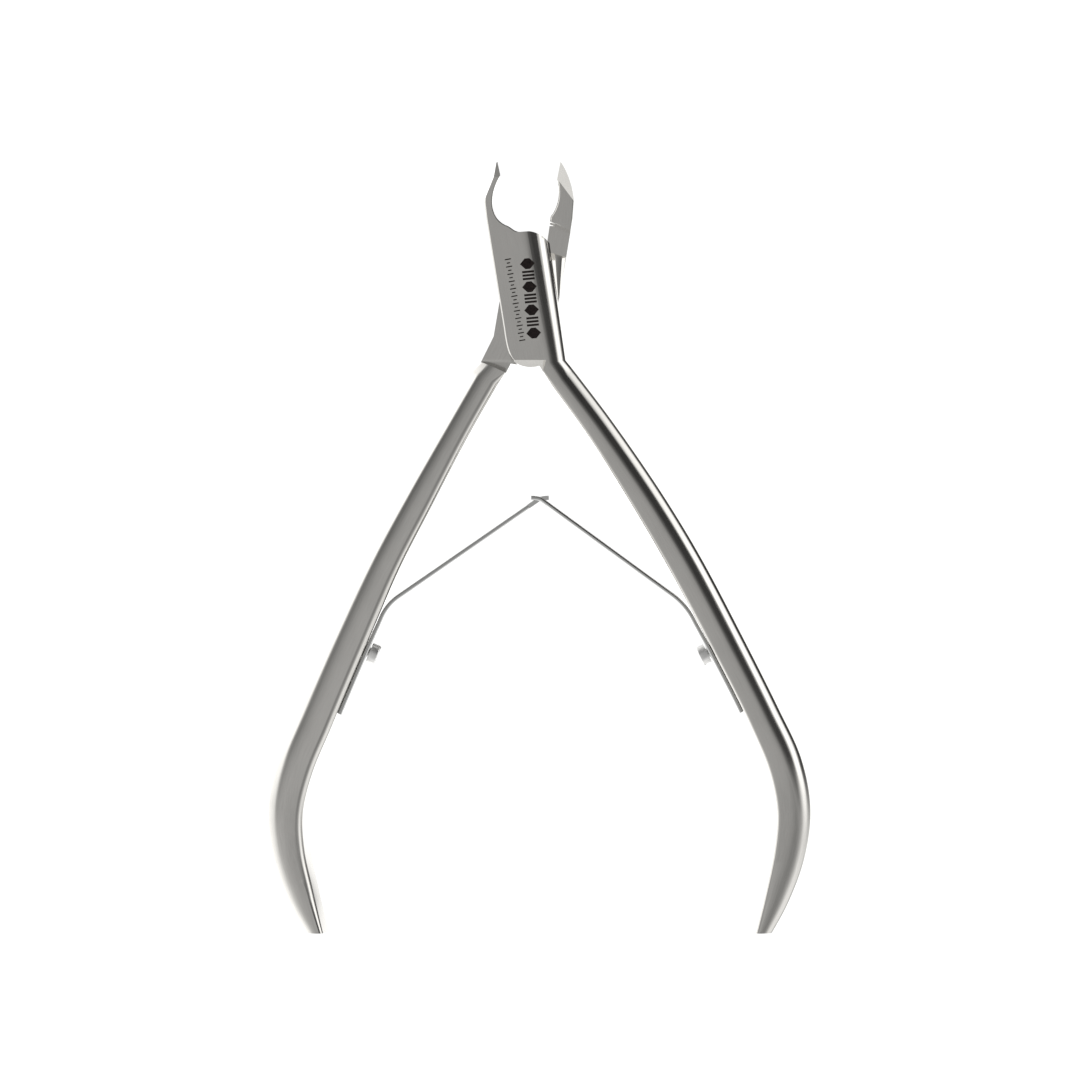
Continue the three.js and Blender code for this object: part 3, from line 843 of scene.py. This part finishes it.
def mark_material():
    """Black laser oxide: matt, slightly uneven and warm where it thins."""
    material = bpy.data.materials.new("laser_mark")
    material.use_nodes = True
    tree = material.node_tree
    shader = tree.nodes["Principled BSDF"]
    place = node(tree, "ShaderNodeTexCoord").outputs["Object"]
    speckle = node(tree, "ShaderNodeTexNoise",
                   [("Vector", place), ("Scale", 3500.0), ("Detail", 4.0)])
    thick, thin = (0.006, 0.004, 0.004), (0.03, 0.02, 0.018)
    tone = ramp(tree, speckle.outputs["Fac"], [(0.35, thick), (0.7, thin)])
    tree.links.new(tone, shader.inputs["Base Color"])
    rough = node(tree, "ShaderNodeMapRange",
                 [("Value", speckle.outputs["Fac"]), ("To Min", 0.45), ("To Max", 0.75)])
    tree.links.new(rough.outputs[0], shader.inputs["Roughness"])
    shader.inputs["Specular IOR Level"].default_value = 0.2
    return material


def paint(obj, material):
    obj.data.materials.clear()
    obj.data.materials.append(material)


for piece, material in (
    (front_lever, satin), (rear_lever, satin), (left_leaf, spring), (right_leaf, spring),
    (left_screw, screw_metal), (right_screw, screw_metal), (rivet, rivet_metal), (mark, mark_material()),
):
    paint(piece, material)


# ---- What each piece rides on. The leaf springs are left in place, attached to no body ----

for piece, body, slot, nodes in (
    (front_lever, "front_lever", "satin_steel", ["front_lever"]),
    (rear_lever, "rear_lever", "satin_steel", ["rear_lever"]),
    (rivet, "front_lever", "rivet_steel", ["pivot_rivet"]),
    (left_screw, "rear_lever", "screw_steel", ["left_spring_screw"]),
    (right_screw, "front_lever", "screw_steel", ["right_spring_screw"]),
    (mark, "front_lever", None, []),
):
    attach(piece, body)
    if nodes:
        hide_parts(*nodes)


for leaf, bodies, start, end, nodes in (
    (left_leaf, ("rear_lever", "left_spring_arm"), left_start, left_end,
     ("left_spring_foot", "left_spring_blade")),
    (right_leaf, ("front_lever", "right_spring_arm"), right_start, right_end,
     ("right_spring_foot", "right_spring_blade")),
):
    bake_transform(leaf)
    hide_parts(*nodes)


# ---- Studio ----

def make_floor():
    size = 3.0
    corners = [(-size, -size, 0), (size, -size, 0), (size, size, 0), (-size, size, 0)]
    floor = new_object("floor", corners, [(0, 1, 2, 3)])
    floor.location.z = -0.00002
    material = bpy.data.materials.new("white_floor")
    material.use_nodes = True
    tree = material.node_tree
    shader = tree.nodes["Principled BSDF"]
    shader.inputs["Base Color"].default_value = (0.3, 0.3, 0.3, 1)
    shader.inputs["Roughness"].default_value = 1.0
    shader.inputs["Specular IOR Level"].default_value = 0.0
    shader.inputs["Emission Color"].default_value = (1, 1, 1, 1)
    shader.inputs["Emission Strength"].default_value = 0.95
    floor.data.materials.append(material)
    floor.visible_glossy = False


make_floor()

# Brightness of the studio as polished steel shows it, for compass directions (degrees from +X
# towards +Y) and angles down from straight above.
STUDIO = {
    -150: [(0, .3), (6, .33), (24, .34), (40, .38), (55, .48), (70, .64), (85, .82), (100, .97),
         (180, 1.1)],
    -90: [(0, .3), (6, .36), (10, .3), (14, .25), (32, .24), (60, .36), (80, .55), (100, .65),
         (130, .7), (180, .9)],
    -27: [(0, .3), (8, .28), (14, .23), (21, .18), (32, .19), (42, .25), (52, .38), (63, .58),
         (74, .75), (108, .75), (120, .5), (128, .28), (138, .5), (146, 1), (180, 1)],
    -17: [(0, .3), (10, .29), (20, .26), (34, .26), (46, .32), (58, .48), (70, .66), (110, .6),
         (124, .55), (134, .6), (146, 1), (180, 1)],
    0: [(0, .3), (8, .28), (14, .19), (22, .11), (36, .11), (44, .28), (54, .62), (64, .9),
         (78, .95), (88, .75), (98, .42), (108, .26), (122, .22), (134, .26), (146, .9),
         (180, 1)],
    10: [(0, .3), (9, .28), (15, .19), (21, .09), (27, .045), (46, .04), (52, .2), (57, .8),
         (62, 1.1), (90, 1.1), (96, .5), (102, .1), (112, .04), (138, .05), (145, .6), (151, 1),
         (180, 1)],
    27: [(0, .3), (7, .27), (11, .19), (15, .1), (20, .05), (28, .03), (54, .03), (60, .2),
         (64, .8), (68, 1.1), (100, 1.1), (107, .5), (112, .1), (117, .02), (140, .02),
         (146, .4), (151, 1), (180, 1)],
    38: [(0, .3), (10, .26), (18, .1), (28, .03), (54, .03), (64, .5), (80, .9), (108, .9),
         (116, .2), (123, .05), (140, .05), (148, .6), (152, 1), (180, 1)],
    54: [(0, .3), (10, .27), (18, .1), (27, .02), (118, .02), (135, .1), (150, .6), (180, 1)],
    78: [(0, .3), (12, .27), (25, .19), (45, .12), (70, .1), (100, .12), (125, .15), (150, .5),
         (180, 1)],
    115: [(0, .3), (12, .28), (25, .21), (45, .15), (70, .25), (100, .4), (125, .5), (150, .8),
         (180, 1)],
    150: [(0, .3), (9, .27), (21, .225), (31, .175), (50, .11), (61, .11), (66, .3), (72, .85),
         (78, 1.2), (180, 1.2)],
    180: [(0, .3), (30, .3), (50, .26), (58, .4), (66, .68), (75, .78), (90, .86), (110, .92),
         (130, 1), (180, 1)],
}
STEEL_REFLECTS = 0.61
RAMP_TOP = 2.5


def make_world():
    world = bpy.data.worlds.new("studio")
    scene.world = world
    world.use_nodes = True
    tree = world.node_tree
    tree.nodes.clear()
    direction = node(tree, "ShaderNodeTexCoord").outputs["Generated"]
    split = node(tree, "ShaderNodeSeparateXYZ", [(0, direction)])
    down = maths(tree, "MULTIPLY", maths(tree, "ARCCOSINE", split.outputs["Z"]), 1 / math.pi)
    turn = node(tree, "ShaderNodeMapRange", [
        ("Value", maths(tree, "ARCTAN2", split.outputs["Y"], split.outputs["X"])),
        ("From Min", -math.pi), ("From Max", math.pi)])
    compass = sorted(STUDIO)
    total = None
    for i, centre in enumerate(compass):
        before = compass[i - 1] if i else compass[-1] - 360
        after = compass[i + 1] if i + 1 < len(compass) else compass[0] + 360
        stops = [(before, 0.0), (centre, 1.0), (after, 0.0)]
        if centre == 180:
            stops = [(-180, 1.0), (after - 360, 0.0), (before, 0.0), (180, 1.0)]
        elif before < -180:
            stops = [(-180, 0.0), (centre, 1.0), (after, 0.0)]
        stops = [((a + 180) / 360, v) for a, v in stops]
        weight = ramp(tree, turn.outputs[0], stops)
        scale = 1 / STEEL_REFLECTS / RAMP_TOP
        profile = ramp(tree, down, [(a / 180, v * scale) for a, v in STUDIO[centre]])
        part = maths(tree, "MULTIPLY", weight, profile)
        total = part if total is None else maths(tree, "ADD", total, part)
    total = maths(tree, "MULTIPLY", total, RAMP_TOP)
    studio = node(tree, "ShaderNodeBackground", [("Color", (1, 1, 1, 1)), ("Strength", total)])
    backdrop = node(tree, "ShaderNodeBackground", [("Color", (1, 1, 1, 1)), ("Strength", 1.0)])
    seen = node(tree, "ShaderNodeLightPath").outputs["Is Camera Ray"]
    mixed = node(tree, "ShaderNodeMixShader",
                 [(0, seen), (1, studio.outputs[0]), (2, backdrop.outputs[0])])
    node(tree, "ShaderNodeOutputWorld", [(0, mixed.outputs[0])])


make_world()

CAMERA_LENS = 120.0
FRAME_WIDTH = 154.286    # across the picture at the height of the pivot plane
camera_data = bpy.data.cameras.new("camera")
camera_data.lens = CAMERA_LENS
camera_data.sensor_width = 36.0
camera_data.clip_start = 0.01
camera_data.clip_end = 20.0
camera = bpy.data.objects.new("camera", camera_data)
camera.location = (0.001571, -0.033571, (FRAME_WIDTH * CAMERA_LENS / 36.0 + MID_Z) * MM)
scene.collection.objects.link(camera)
scene.camera = camera

scene.view_settings.view_transform = "Standard"
scene.view_settings.look = "None"
scene.view_settings.exposure = 0.0
scene.view_settings.gamma = 1.0
